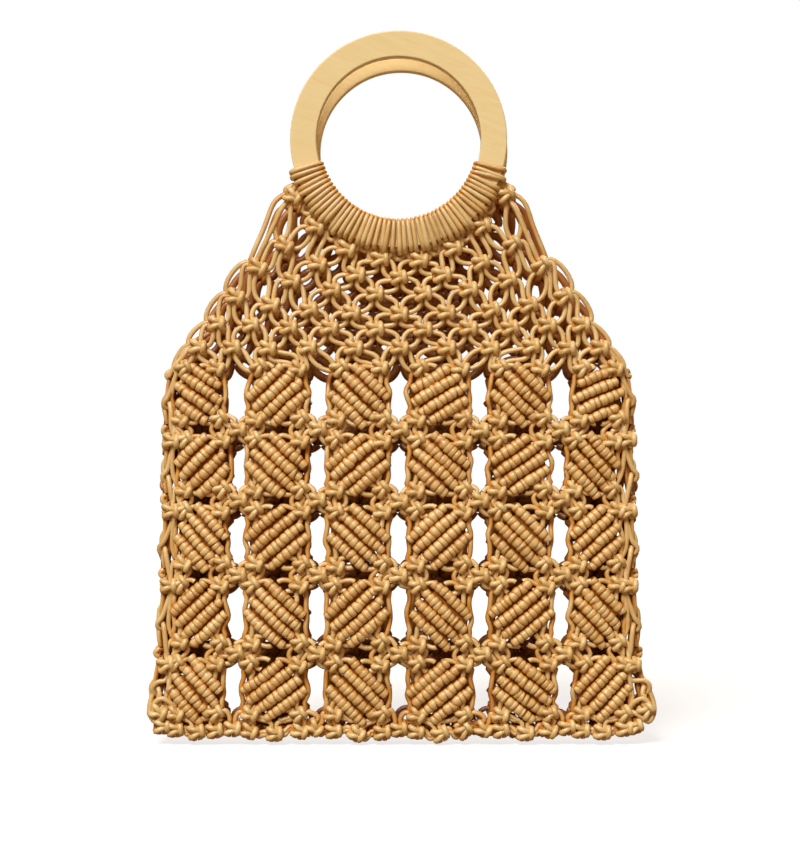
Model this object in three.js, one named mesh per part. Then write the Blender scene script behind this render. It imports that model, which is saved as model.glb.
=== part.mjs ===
// A knotted cord handbag that hangs from two flat wooden rings. Each ring carries a row of cord wraps, a net
// yoke of alternating square knots and a panel of diamond leaves with open ovals between them. The two panels
// are laced down both sides and knotted along the hem, so the bag is hollow and open between the rings.
import * as THREE from "three";

// Driving sizes in millimetres. The origin is the inside top of the front ring, where a hook or a hand
// carries the bag. The front faces -Y and +Z is up.
const CORD = 3.5;
const GAP = 0.4;
const RING = { outer: 75, inner: 57, thickness: 10, ease: 1.5, segments: 44, spacing: 28 };
const BACK = { drop: 5, dropFades: [-300, -464], shift: 1.7, shiftFades: [-145, -205] };
const WRAPS = { pairs: 24, halfArcDegrees: 74.5, groove: 0.6, rounding: 0.6, linerSteps: 16 };

// Half width and half depth of the bag's middle surface: a row for each height.
const SECTIONS = [
  { z: -57, halfWidth: 92, middle: 14, edge: 14 },
  { z: -135, halfWidth: 96, middle: 14.5, edge: 12.5 },
  { z: -210, halfWidth: 160, middle: 20, edge: 7.5 },
  { z: -300, halfWidth: 161, middle: 22, edge: 7 },
  { z: -385, halfWidth: 163, middle: 19, edge: 7 },
  { z: -440, halfWidth: 166, middle: 11.5, edge: 7 },
  { z: -475, halfWidth: 169, middle: 7, edge: 7 },
];
const BULGE_POWER = 2.4;

// The net yoke: a row for each row of square knots, from the ring down to the leaf panel.
const YOKE_ROWS = [
  { knots: 8, halfSpan: 74, z: -140.8, endRise: 45, crowding: 0.32 },
  { knots: 7, halfSpan: 79.5, z: -152.7, endRise: 22.7, crowding: 0.2 },
  { knots: 8, halfSpan: 98.8, z: -164, endRise: 19.6, crowding: 0.2 },
  { knots: 9, halfSpan: 114, z: -177.7, endRise: 12, crowding: 0.2 },
  { knots: 10, halfSpan: 126.5, z: -188, endRise: 3.5, crowding: 0.2 },
  { knots: 11, halfSpan: 139.6, z: -200.8, endRise: 0, crowding: 0.2 },
  { knots: 12, halfSpan: 147, z: -209.2, endRise: 0, crowding: 0.2 },
];
const FIRST_OPEN_ROW = 2;
const NET_HOLE = 0.52;
const KNOT_REACH = 4.5;

// The leaf panel: heights of the knot rows that part the leaf rows, and the columns as shares of half width.
const LEAF_ROW_EDGES = [-209.6, -257.8, -306.6, -358.3, -413, -464.8];
const COLUMN_EDGES = [-0.98, -0.694, -0.347, 0, 0.347, 0.694, 0.98];
const OVAL = { halfWidth: 7.6, halfHeight: 15.5, sides: 8 };
const LEAF = { rows: 4, inset: 0.84, edgeCorner: 0.6, shoulderInset: 5 };

// Heights of the wall's outer and inner faces from its middle surface.
const RELIEF = { rim: 1.8, seam: 1.2, knot: 4.6, leafPeak: 4.4, leafGroove: 2.4, inner: -3.8 };
const NET_RELIEF = { rim: 1.8, inner: -1.8 };

// The knotted hem that joins the two panels along the bottom.
const HEM = { knots: 12, reach: 164, z: -469.8 };
const HEM_PLAIN = { halfHeight: 3.4, halfDepth: 9 };
const HEM_KNOT = { halfHeight: 4.2, halfDepth: 11.5 };

// The lacing that joins the two panels down each side: thick at each knot, and out at the bottom corner.
const LACING = [
  { z: -212.5, x: 156, halfWidth: 2.2, halfDepth: 6 },
  { z: -224, x: 161, halfWidth: 2.8, halfDepth: 7 },
  { z: -257.8, x: 162, halfWidth: 4.2, halfDepth: 9.5 },
  { z: -282, x: 161.5, halfWidth: 2.8, halfDepth: 7 },
  { z: -306.6, x: 162.5, halfWidth: 4.2, halfDepth: 9.5 },
  { z: -332, x: 162.5, halfWidth: 2.8, halfDepth: 7 },
  { z: -358.3, x: 164, halfWidth: 4.2, halfDepth: 9.5 },
  { z: -386, x: 164.5, halfWidth: 2.8, halfDepth: 7 },
  { z: -413, x: 167, halfWidth: 4.2, halfDepth: 9.5 },
  { z: -437, x: 170, halfWidth: 4, halfDepth: 8 },
  { z: -453, x: 172, halfWidth: 5.4, halfDepth: 9.5 },
  { z: -466.5, x: 170.5, halfWidth: 4.6, halfDepth: 8 },
];

// A bare cord at each shoulder: where it leaves the wraps, how it bends, and how far it stops from its knot.
const SHOULDER_CORD = { sides: 8, steps: 9, leavesAtDegrees: 66, stopOut: 2.3, stopUp: 2.9 };
const SHOULDER_BENDS = [
  { out: 81.5, z: -92.5 },
  { out: 87, z: -102 },
];

// Looks: pale satin wood and tan cotton cord.
const WOOD = { color: 0xf0d093, roughness: 0.45, metalness: 0 };
const COTTON = { color: 0xcf9d5c, roughness: 0.75, metalness: 0 };

const RING_CENTRE_Z = -RING.inner;
const ROW_COUNT = LEAF_ROW_EDGES.length - 1;
const COLUMN_COUNT = COLUMN_EDGES.length - 1;
const { lerp, clamp, degToRad } = THREE.MathUtils;

// Smooth value of one column of SECTIONS at height z, with no overshoot between rows.
function section(column, z) {
  const last = SECTIONS.length - 1;
  const high = clamp(z, SECTIONS[last].z, SECTIONS[0].z);
  const k = clamp(SECTIONS.findIndex((row) => row.z <= high) - 1, 0, last - 1);
  const secant = (n) => {
    const [from, to] = [SECTIONS[clamp(n, 0, last - 1)], SECTIONS[clamp(n, 0, last - 1) + 1]];
    return (to[column] - from[column]) / (to.z - from.z);
  };
  const slopeAt = (n) => {
    const [before, after] = [secant(n - 1), secant(n)];
    return before * after > 0 ? (2 * before * after) / (before + after) : 0;
  };
  const [from, to] = [SECTIONS[k], SECTIONS[k + 1]];
  const span = to.z - from.z;
  const t = (high - from.z) / span;
  const rise = to[column] - from[column];
  const [start, end] = [slopeAt(k) * span, slopeAt(k + 1) * span];
  const bend = 3 * rise - 2 * start - end;
  const twist = start + end - 2 * rise;
  return from[column] + t * (start + t * (bend + t * twist));
}

// Half depth of the bag's middle surface at a place on a panel.
function halfDepth(x, z) {
  const edge = section("edge", z);
  const share = Math.min(1, Math.abs(x) / section("halfWidth", z));
  return edge + (section("middle", z) - edge) * (1 - share ** BULGE_POWER);
}

// How far the back's own drop or shift applies at a height: all of it at the ring, none where it has faded.
function backShare(z, [from, to]) {
  return clamp((to - z) / (to - from), 0, 1);
}

// Puts a place on a panel, at a height out from its middle surface, on the front or the back of the bag.
function onFront(x, z, out) {
  return [x, -halfDepth(x, z) - out, z];
}
function onBack(x, z, out) {
  const shift = BACK.shift * backShare(z, BACK.shiftFades);
  const drop = BACK.drop * backShare(z, BACK.dropFades);
  return [-x + shift, halfDepth(x, z) + out, z - drop];
}

// A closed mesh from vertices and triangles.
function meshGeometry(vertices, triangles) {
  const geometry = new THREE.BufferGeometry();
  geometry.setAttribute("position", new THREE.Float32BufferAttribute(vertices.flat(), 3));
  geometry.setIndex(triangles.flat());
  geometry.computeVertexNormals();
  return geometry;
}

// A pierced wall with an outer and an inner face. Rim points lie on both faces, crests on the outer alone.
class PiercedWall {
  constructor(place) {
    this.place = place;
    this.vertices = [];
    this.triangles = [];
    this.innerOf = new Map();
  }

  crest(x, z, out) {
    return this.vertices.push(this.place(x, z, out)) - 1;
  }

  rim(x, z, outer, inner) {
    const id = this.crest(x, z, outer);
    this.innerOf.set(id, this.crest(x, z, inner));
    return { id, x, z };
  }

  // A fan of triangles from the first corner, counter-clockwise as seen from outside.
  outerFace(...corners) {
    for (let i = 2; i < corners.length; i++) this.triangles.push([corners[0], corners[i - 1], corners[i]]);
  }

  innerFace(...corners) {
    const ids = corners.map((id) => this.innerOf.get(id)).reverse();
    this.outerFace(...ids);
  }

  bothFaces(...corners) {
    this.outerFace(...corners);
    this.innerFace(...corners);
  }

  // A four-cornered tile of net with a hole of the same shape in its middle.
  piercedTile(corners, hole, relief) {
    const mid = { x: 0, z: 0 };
    for (const corner of corners) {
      mid.x += corner.x / corners.length;
      mid.z += corner.z / corners.length;
    }
    const inset = corners.map((p) => {
      return this.rim(lerp(mid.x, p.x, hole), lerp(mid.z, p.z, hole), relief.rim, relief.inner);
    });
    corners.forEach((corner, i) => {
      const j = (i + 1) % corners.length;
      this.bothFaces(corner.id, corners[j].id, inset[j].id, inset[i].id);
    });
  }

  // Joins the two faces along every open edge, round the outside and through each hole.
  close() {
    const edges = new Set();
    const key = (a, b) => `${a},${b}`;
    const faces = this.triangles.flatMap(([a, b, c]) => [[a, b], [b, c], [c, a]]);
    for (const [a, b] of faces) edges.add(key(a, b));
    for (const [p, q] of faces) {
      if (!this.innerOf.has(p) || !this.innerOf.has(q) || edges.has(key(q, p))) continue;
      const [pIn, qIn] = [this.innerOf.get(p), this.innerOf.get(q)];
      this.triangles.push([q, p, pIn], [q, pIn, qIn]);
    }
    return meshGeometry(this.vertices, this.triangles);
  }
}

// Skins a run of loops of equal length, each counter-clockwise as seen from the far end.
function loft(vertices, triangles, loops) {
  const ids = loops.map((loop) => loop.map((point) => vertices.push(point) - 1));
  for (let s = 0; s + 1 < ids.length; s++) {
    const sides = ids[s].length;
    for (let i = 0; i < sides; i++) {
      const j = (i + 1) % sides;
      triangles.push([ids[s][i], ids[s][j], ids[s + 1][j]], [ids[s][i], ids[s + 1][j], ids[s + 1][i]]);
    }
  }
  return ids;
}

// A solid bar skinned over loops, with flat ends.
function bar(loops) {
  const vertices = [];
  const triangles = [];
  const ids = loft(vertices, triangles, loops);
  const first = ids[0];
  const last = ids[ids.length - 1];
  for (let i = 1; i + 1 < first.length; i++) {
    triangles.push([first[0], first[i + 1], first[i]], [last[0], last[i], last[i + 1]]);
  }
  return meshGeometry(vertices, triangles);
}

// A flat wooden ring with eased edges, turned about the front-to-back axis.
function ringGeometry() {
  const { outer, inner, thickness, ease, segments } = RING;
  const half = thickness / 2;
  const profile = [
    [inner, half - ease],
    [inner, ease - half],
    [inner + ease, -half],
    [outer - ease, -half],
    [outer, ease - half],
    [outer, half - ease],
    [outer - ease, half],
    [inner + ease, half],
    [inner, half - ease],
  ].map(([radius, y]) => new THREE.Vector2(radius, y));
  return new THREE.LatheGeometry(profile, segments);
}

// A loop round the ring's section at an angle from straight down, standing off it by a distance.
function ringLoop(angle, standOff) {
  const half = RING.thickness / 2 + standOff;
  const [low, high] = [RING.inner - standOff, RING.outer + standOff];
  const ease = standOff * WRAPS.rounding;
  const corners = [
    [low + ease, -half],
    [high - ease, -half],
    [high, ease - half],
    [high, half - ease],
    [high - ease, half],
    [low + ease, half],
    [low, half - ease],
    [low, ease - half],
  ];
  return corners.map(([radius, y]) => [radius * Math.sin(angle), y, -radius * Math.cos(angle)]);
}

// The row of cords hitched on the ring: one sleeve with a rib for each hitch of two cords.
function wrapGeometry() {
  const { pairs, halfArcDegrees, groove, linerSteps } = WRAPS;
  const halfArc = degToRad(halfArcDegrees);
  const vertices = [];
  const triangles = [];
  const angleAt = (share) => lerp(-halfArc, halfArc, share);
  const skin = Array.from({ length: 2 * pairs + 1 }, (_, i) => {
    return ringLoop(angleAt(i / (2 * pairs)), i % 2 ? CORD : CORD * groove);
  });
  const liner = Array.from({ length: linerSteps + 1 }, (_, i) => {
    return ringLoop(angleAt(i / linerSteps), GAP).reverse();
  });
  const skinIds = loft(vertices, triangles, skin);
  const linerIds = loft(vertices, triangles, liner).map((loop) => loop.reverse());
  const sides = skin[0].length;
  for (let i = 0; i < sides; i++) {
    const j = (i + 1) % sides;
    const [a, b, c, d] = [skinIds[0][i], skinIds[0][j], linerIds[0][j], linerIds[0][i]];
    triangles.push([a, c, b], [a, d, c]);
    const [e, f, g, h] = [skinIds.at(-1)[i], skinIds.at(-1)[j], linerIds.at(-1)[j], linerIds.at(-1)[i]];
    triangles.push([e, f, g], [e, g, h]);
  }
  return meshGeometry(vertices, triangles);
}

// The knots of one yoke row, from left to right.
function yokeKnots({ knots, halfSpan, z, endRise, crowding }) {
  return Array.from({ length: knots }, (_, i) => {
    const t = (2 * i) / (knots - 1) - 1;
    return { x: halfSpan * t * (1 + crowding * (1 - Math.abs(t))), z: z + endRise * t * t };
  });
}

// The net yoke: knots stand proud, and the gaps between four knots are cut through.
function yokeGeometry(place) {
  const wall = new PiercedWall(place);
  const rows = YOKE_ROWS.map((row) => {
    return yokeKnots(row).map(({ x, z }, i) => {
      const side = i === 0 ? -1 : i === row.knots - 1 ? 1 : 0;
      return wall.rim(x + side * KNOT_REACH, z, RELIEF.knot, RELIEF.inner);
    });
  });
  const angles = yokeKnots(YOKE_ROWS[0]).map(({ x, z }) => Math.atan2(x, RING_CENTRE_Z - z));
  const ringEdge = Array.from({ length: 2 * angles.length - 1 }, (_, i) => {
    const angle = (angles[Math.floor(i / 2)] + angles[Math.ceil(i / 2)]) / 2;
    const reach = RING.outer + CORD + 2 * GAP;
    const [x, z] = [reach * Math.sin(angle), RING_CENTRE_Z - reach * Math.cos(angle)];
    return wall.rim(x, z, RELIEF.rim, RELIEF.inner);
  });
  for (let i = 0; i + 1 < rows[0].length; i++) {
    const [from, mid, to] = ringEdge.slice(2 * i, 2 * i + 3);
    wall.bothFaces(mid.id, from.id, rows[0][i].id, rows[0][i + 1].id, to.id);
    wall.bothFaces(rows[0][i].id, rows[1][i].id, rows[0][i + 1].id);
  }
  for (let k = 1; k + 1 < rows.length; k++) {
    const above = k === 1 ? 1 : 0;
    for (let i = 0; i + 1 < rows[k].length; i++) {
      const tile = [rows[k - 1][i + above], rows[k][i], rows[k + 1][i + 1], rows[k][i + 1]];
      if (k < FIRST_OPEN_ROW) wall.bothFaces(...tile.map((p) => p.id));
      else wall.piercedTile(tile, NET_HOLE, NET_RELIEF);
    }
  }
  const [lastRow, foot] = rows.slice(-2);
  lastRow.forEach((knot, i) => wall.bothFaces(knot.id, foot[i].id, foot[i + 1].id));
  return wall.close();
}

// One ribbed leaf on a wall. Its ribs run from the first corner's edge to the opposite edge.
function addLeaf(wall, corners, centre) {
  const steps = 2 * LEAF.rows;
  const inset = corners.map((p) => [lerp(centre.x, p.x, LEAF.inset), lerp(centre.z, p.z, LEAF.inset)]);
  const line = (from, to) => {
    return Array.from({ length: steps + 1 }, (_, k) => {
      const height = k % 2 ? RELIEF.leafPeak : RELIEF.leafGroove;
      return wall.crest(lerp(from[0], to[0], k / steps), lerp(from[1], to[1], k / steps), height);
    });
  };
  const starts = line(inset[0], inset[1]);
  const ends = line(inset[3], inset[2]);
  for (let k = 0; k < steps; k++) wall.outerFace(starts[k], starts[k + 1], ends[k + 1], ends[k]);
  const skirt = (from, to, run) => {
    const half = steps / 2;
    for (let k = 0; k < steps; k++) wall.outerFace(k < half ? from : to, run[k + 1], run[k]);
    wall.outerFace(from, to, run[half]);
  };
  const [a, b, c, d] = corners.map((p) => p.id);
  skirt(a, b, starts);
  skirt(c, d, [...ends].reverse());
  wall.outerFace(b, c, ends[steps], starts[steps]);
  wall.outerFace(d, a, starts[0], ends[0]);
  wall.innerFace(a, b, c, d);
}

// The leaf panel: ribbed diamonds that meet tip to tip, knots where four leaves meet, and an open oval
// between each two neighbours in a row.
function panelGeometry(place) {
  const wall = new PiercedWall(place);
  const edgeX = (b, z) => COLUMN_EDGES[b] * section("halfWidth", z);
  const rowMiddle = (r) => (LEAF_ROW_EDGES[r] + LEAF_ROW_EDGES[r + 1]) / 2;
  const columnMiddle = (c, z) => (edgeX(c, z) + edgeX(c + 1, z)) / 2;
  const hubs = LEAF_ROW_EDGES.map((z, r) => {
    return COLUMN_EDGES.map((share, b) => {
      const atShoulder = r === 0 && (b === 0 || b === COLUMN_COUNT);
      const x = edgeX(b, z) - (atShoulder ? Math.sign(share) * LEAF.shoulderInset : 0);
      return wall.rim(x, z, RELIEF.knot, RELIEF.inner);
    });
  });
  const tips = LEAF_ROW_EDGES.map((z) => {
    return Array.from({ length: COLUMN_COUNT }, (_, c) => {
      return wall.rim(columnMiddle(c, z), z, RELIEF.seam, RELIEF.inner);
    });
  });
  const ovals = Array.from({ length: ROW_COUNT }, (_, r) => {
    const z = rowMiddle(r);
    return COLUMN_EDGES.map((_, b) => {
      const side = b === 0 ? 1 : b === COLUMN_COUNT ? -1 : 0;
      const x = edgeX(b, z) + side * LEAF.edgeCorner;
      if (side) return [wall.rim(x, z, RELIEF.rim, RELIEF.inner)];
      return Array.from({ length: OVAL.sides }, (_, i) => {
        const angle = (2 * Math.PI * i) / OVAL.sides;
        const across = OVAL.halfWidth * Math.cos(angle);
        return wall.rim(x + across, z + OVAL.halfHeight * Math.sin(angle), RELIEF.rim, RELIEF.inner);
      });
    });
  });
  const leftCorner = (r, c) => ovals[r][c][0];
  const rightCorner = (r, c) => ovals[r][c + 1][c + 1 === COLUMN_COUNT ? 0 : OVAL.sides / 2];

  for (let r = 0; r < ROW_COUNT; r++) {
    for (let c = 0; c < COLUMN_COUNT; c++) {
      const [top, left, bottom, right] = [tips[r][c], leftCorner(r, c), tips[r + 1][c], rightCorner(r, c)];
      const centre = { x: (left.x + right.x) / 2, z: rowMiddle(r) };
      addLeaf(wall, (r + c) % 2 ? [right, top, left, bottom] : [top, left, bottom, right], centre);
    }
  }

  // A corner between a hub and a leaf's edge, with the small knot that ties the leaf's cords.
  const addCorner = (hub, from, to) => {
    const mean = (axis) => (hub[axis] + from[axis] + to[axis]) / 3;
    const knot = wall.crest(mean("x"), mean("z"), RELIEF.knot);
    const ring = [hub.id, from.id, to.id];
    ring.forEach((id, i) => wall.outerFace(id, ring[(i + 1) % 3], knot));
    wall.innerFace(...ring);
  };
  hubs.forEach((row, r) => {
    row.forEach((hub, b) => {
      const [hasLeft, hasRight, hasAbove, hasBelow] = [b > 0, b < COLUMN_COUNT, r > 0, r < ROW_COUNT];
      if (hasAbove && hasRight) addCorner(hub, tips[r][b], leftCorner(r - 1, b));
      if (hasAbove && hasLeft) addCorner(hub, rightCorner(r - 1, b - 1), tips[r][b - 1]);
      if (hasBelow && hasLeft) addCorner(hub, tips[r][b - 1], rightCorner(r, b - 1));
      if (hasBelow && hasRight) addCorner(hub, leftCorner(r, b), tips[r][b]);
      if (!hasLeft || !hasRight) return;
      const half = OVAL.sides / 2;
      for (let i = 0; i < half; i++) {
        const above = hasAbove && ovals[r - 1][b];
        const below = hasBelow && ovals[r][b];
        const [from, to] = [(OVAL.sides - i) % OVAL.sides, OVAL.sides - i - 1];
        if (above) wall.bothFaces(hub.id, above[from].id, above[to].id);
        if (below) wall.bothFaces(hub.id, below[half - i].id, below[half - i - 1].id);
      }
    });
  });
  return wall.close();
}

// An eight-sided loop in a plane, from a function that places its two axes.
function octagon(place) {
  return Array.from({ length: 8 }, (_, i) => {
    const angle = ((i + 0.5) * Math.PI) / 4;
    return place(Math.cos(angle), Math.sin(angle));
  });
}

// The hem: a bar along the bottom that thickens at each knot and joins the two panels.
function hemGeometry() {
  const stations = 2 * HEM.knots;
  const loops = Array.from({ length: stations + 1 }, (_, i) => {
    const x = lerp(-HEM.reach, HEM.reach, i / stations);
    const { halfHeight, halfDepth: depth } = i % 2 ? HEM_KNOT : HEM_PLAIN;
    return octagon((a, b) => [x, a * depth, HEM.z + b * halfHeight]);
  });
  return bar(loops);
}

// The lacing: an upright bar at one side.
function lacingGeometry(side) {
  const loops = LACING.map(({ z, x, halfWidth, halfDepth: depth }) => {
    return octagon((a, b) => [side * x + a * halfWidth, b * depth, z]);
  });
  return bar(loops.reverse());
}

// A bare cord that runs from the end of the wraps down to the third yoke row, clear of the net.
function shoulderCordGeometry(place, side) {
  const { sides, steps, leavesAtDegrees, stopOut, stopUp } = SHOULDER_CORD;
  const endKnot = yokeKnots(YOKE_ROWS[2]).at(-1);
  const wrapEdge = RING.outer + CORD + CORD / 2 + GAP;
  const leave = degToRad(leavesAtDegrees);
  const route = [
    { out: wrapEdge * Math.sin(leave), z: RING_CENTRE_Z - wrapEdge * Math.cos(leave) },
    ...SHOULDER_BENDS,
    { out: endKnot.x + KNOT_REACH + stopOut, z: endKnot.z + stopUp },
  ];
  const points = route.map(({ out, z }) => new THREE.Vector3(...place(side * out, z, 0)));
  const path = new THREE.CatmullRomCurve3(points, false, "centripetal");
  const disc = new THREE.Path().absarc(0, 0, CORD / 2, 0, 2 * Math.PI).getPoints(sides / 2);
  return new THREE.ExtrudeGeometry(new THREE.Shape(disc), { extrudePath: path, steps });
}

const bag = new THREE.Group();
function add(name, geometry, look, parent = bag) {
  const mesh = new THREE.Mesh(geometry, new THREE.MeshStandardMaterial(look));
  mesh.name = name;
  parent.add(mesh);
}

for (const [label, place] of [["front", onFront], ["back", onBack]]) {
  const handle = new THREE.Group();
  const isBack = place === onBack;
  if (isBack) handle.position.set(BACK.shift, RING.spacing / 2, RING_CENTRE_Z - BACK.drop);
  else handle.position.set(0, -RING.spacing / 2, RING_CENTRE_Z);
  bag.add(handle);
  add(`ring_handle_${label}`, ringGeometry(), WOOD, handle);
  add(`ring_wrap_${label}`, wrapGeometry(), COTTON, handle);
  add(`net_yoke_${label}`, yokeGeometry(place), COTTON);
  add(`leaf_panel_${label}`, panelGeometry(place), COTTON);
  add(`shoulder_cord_${label}_left`, shoulderCordGeometry(place, isBack ? 1 : -1), COTTON);
  add(`shoulder_cord_${label}_right`, shoulderCordGeometry(place, isBack ? -1 : 1), COTTON);
}
add("side_lacing_left", lacingGeometry(-1), COTTON);
add("side_lacing_right", lacingGeometry(1), COTTON);
add("bottom_hem", hemGeometry(), COTTON);

export default bag;
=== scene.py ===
# A knotted cord handbag on two wooden rings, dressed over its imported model. Sizes are in millimetres until
# the meshes are made. Places on a panel are (x, z, out): across, up, and out from its middle surface.
import math

import bpy
import numpy as np
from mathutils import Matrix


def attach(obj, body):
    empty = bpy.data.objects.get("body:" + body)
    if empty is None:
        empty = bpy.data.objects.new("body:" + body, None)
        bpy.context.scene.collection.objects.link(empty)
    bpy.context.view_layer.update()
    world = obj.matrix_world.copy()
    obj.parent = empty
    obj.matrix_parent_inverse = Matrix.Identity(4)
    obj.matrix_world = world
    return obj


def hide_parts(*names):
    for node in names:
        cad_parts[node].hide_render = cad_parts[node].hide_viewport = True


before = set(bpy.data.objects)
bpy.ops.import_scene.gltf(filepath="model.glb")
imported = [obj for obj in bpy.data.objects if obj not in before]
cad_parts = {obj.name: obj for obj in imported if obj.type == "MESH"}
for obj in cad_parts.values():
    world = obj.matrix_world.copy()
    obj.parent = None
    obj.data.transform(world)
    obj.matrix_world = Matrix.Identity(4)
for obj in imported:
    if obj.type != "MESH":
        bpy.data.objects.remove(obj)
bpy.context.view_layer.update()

MM = 0.001
random = np.random.default_rng(11)
stray = random.normal

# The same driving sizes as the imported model.
RING_OUTER, RING_INNER, RING_THICK, RING_SPACING = 75.0, 57.0, 10.0, 28.0
RING_MIDDLE, RING_HALF_WIDTH = (RING_OUTER + RING_INNER) / 2, (RING_OUTER - RING_INNER) / 2
RING_CENTRE_Z = -RING_INNER
BACK_DROP, BACK_SHIFT = 5.0, 1.7
SHIFT_FADES, DROP_FADES = (-145.0, -205.0), (-300.0, -464.0)
SECTION_Z = np.array([-57.0, -135, -210, -300, -385, -440, -475])
SECTION = {
    "half_width": [92.0, 96, 160, 161, 163, 166, 169],
    "middle": [14.0, 14.5, 20, 22, 19, 11.5, 7],
    "edge": [14.0, 12.5, 7.5, 7, 7, 7, 7],
}
BULGE_POWER = 2.4
YOKE_ROWS = [  # knots in the row, half span, height in the middle, rise at the ends, crowding
    (8, 74.0, -140.8, 45.0, 0.32),
    (7, 79.5, -152.7, 22.7, 0.2),
    (8, 98.8, -164.0, 19.6, 0.2),
    (9, 114.0, -177.7, 12.0, 0.2),
    (10, 126.5, -188.0, 3.5, 0.2),
    (11, 139.6, -200.8, 0.0, 0.2),
]
LEAF_ROW_EDGES = [-209.6, -257.8, -306.6, -358.3, -413.0, -464.8]
COLUMN_EDGES = [-0.98, -0.694, -0.347, 0.0, 0.347, 0.694, 0.98]
ROWS, COLUMNS = len(LEAF_ROW_EDGES) - 1, len(COLUMN_EDGES) - 1
OVAL_HALF_WIDTH = 7.6
LACING_Z = np.array([-212.5, -224, -257.8, -282, -306.6, -332, -358.3, -386, -413, -437, -453, -466.5])
LACING_X = np.array([156.0, 161, 162, 161.5, 162.5, 162.5, 164, 164.5, 167, 170, 172, 170.5])

# The cord as it is drawn. The back's strands are fuller and have fewer sides.
CORD_RADIUS, SLACK_RADIUS, BACK_FULLER = 2.0, 1.8, 0.65
CORD_SIDES = {"front": 7, "back": 6}
BEAD_SIDES = {"front": 12, "back": 7}
LINK_LIFT, NET_LIFT = -0.9, -1.6
LINK_POINTS, LOOP_POINTS = 9, 26
WRAP_OFF = 1.45

# The two sides: which way each lies, its end of a row, and the side across from it.
WAYS = {"left": -1, "right": 1}
ENDS = {"left": 0, "right": -1}
OTHER = {"left": "right", "right": "left"}


# Surfaces. One column of the section at height z runs smoothly through its values and never past them.
def section(column, z):
    values = np.array(SECTION[column])
    z = np.clip(z, SECTION_Z[-1], SECTION_Z[0])
    secant = np.diff(values) / np.diff(SECTION_Z)
    before = np.concatenate([secant[:1], secant])
    after = np.concatenate([secant, secant[-1:]])
    same_way = before * after > 0
    slope = np.where(same_way, 2 * before * after / np.where(same_way, before + after, 1), 0)
    k = np.clip(np.searchsorted(-SECTION_Z, -z, side="left") - 1, 0, len(values) - 2)
    span = SECTION_Z[k + 1] - SECTION_Z[k]
    t = (z - SECTION_Z[k]) / span
    rise = values[k + 1] - values[k]
    start, end = slope[k] * span, slope[k + 1] * span
    return values[k] + t * (start + t * (3 * rise - 2 * start - end + t * (start + end - 2 * rise)))


def half_depth(x, z):
    edge = section("edge", z)
    share = np.minimum(1, np.abs(x) / section("half_width", z))
    return edge + (section("middle", z) - edge) * (1 - share**BULGE_POWER)


def edge_x(b, z):
    return COLUMN_EDGES[b] * float(section("half_width", np.array(z)))


def on_front(points):
    x, z, out = np.moveaxis(points, -1, 0)
    return np.stack([x, -half_depth(x, z) - out, z], -1)


def back_share(z, fades):
    start, end = fades
    return np.clip((end - z) / (end - start), 0, 1)


def on_back(points):
    x, z, out = np.moveaxis(points, -1, 0)
    shift = BACK_SHIFT * back_share(z, SHIFT_FADES)
    drop = BACK_DROP * back_share(z, DROP_FADES)
    return np.stack([-x + shift, half_depth(x, z) + out, z - drop], -1)


PLACES = {"front": on_front, "back": on_back}


# Heights of points over the surface that a weave lies on, which set its painted shade.
def over_panel(points):
    x, y, z = np.moveaxis(points, -1, 0)
    return np.abs(y) - half_depth(x, z)


def over_side(points):
    return np.abs(points[..., 0]) - np.interp(-points[..., 2], -LACING_Z, LACING_X)


def over_ring(points):
    x, y, z = np.moveaxis(points, -1, 0)
    at_back = np.where(y < 0, 0.0, 1.0)
    radius = np.hypot(x - at_back * BACK_SHIFT, z - RING_CENTRE_Z + at_back * BACK_DROP)
    across = np.maximum(np.abs(radius - RING_MIDDLE) - RING_HALF_WIDTH, 0)
    out = np.maximum(np.abs(np.abs(y) - RING_SPACING / 2) - RING_THICK / 2, 0)
    return np.hypot(across, out) - WRAP_OFF


# Strands are arrays of (strands, points, 3).
def unit(v):
    return v / np.maximum(np.linalg.norm(v, axis=-1, keepdims=True), 1e-9)


def lengths_along(paths):
    steps = np.linalg.norm(np.diff(paths, axis=1), axis=2)
    return np.concatenate([np.zeros((len(paths), 1)), np.cumsum(steps, 1)], 1)


# A smooth run through control points.
def smooth(controls, per_span):
    controls = np.asarray(controls, float)
    first = 2 * controls[:, :1] - controls[:, 1:2]
    last = 2 * controls[:, -1:] - controls[:, -2:-1]
    padded = np.concatenate([first, controls, last], 1)[:, :, None]
    a, b, c, d = padded[:, :-3], padded[:, 1:-2], padded[:, 2:-1], padded[:, 3:]
    t = (np.arange(per_span) / per_span)[None, None, :, None]
    run = 0.5 * (2 * b + t * (c - a + t * (2 * a - 5 * b + 4 * c - d + t * (3 * b - 3 * c + d - a))))
    return np.concatenate([run.reshape(len(controls), -1, 3), controls[:, -1:]], 1)


# The same strands with evenly spaced points.
def even(paths, count):
    result = np.empty((len(paths), count, 3))
    for i, (path, s) in enumerate(zip(paths, lengths_along(paths))):
        where = np.linspace(0, s[-1], count)
        for axis in range(3):
            result[i, :, axis] = np.interp(where, s, path[:, axis])
    return result


def run_through(controls, per_span, points):
    return even(smooth(controls, per_span), points)


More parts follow.
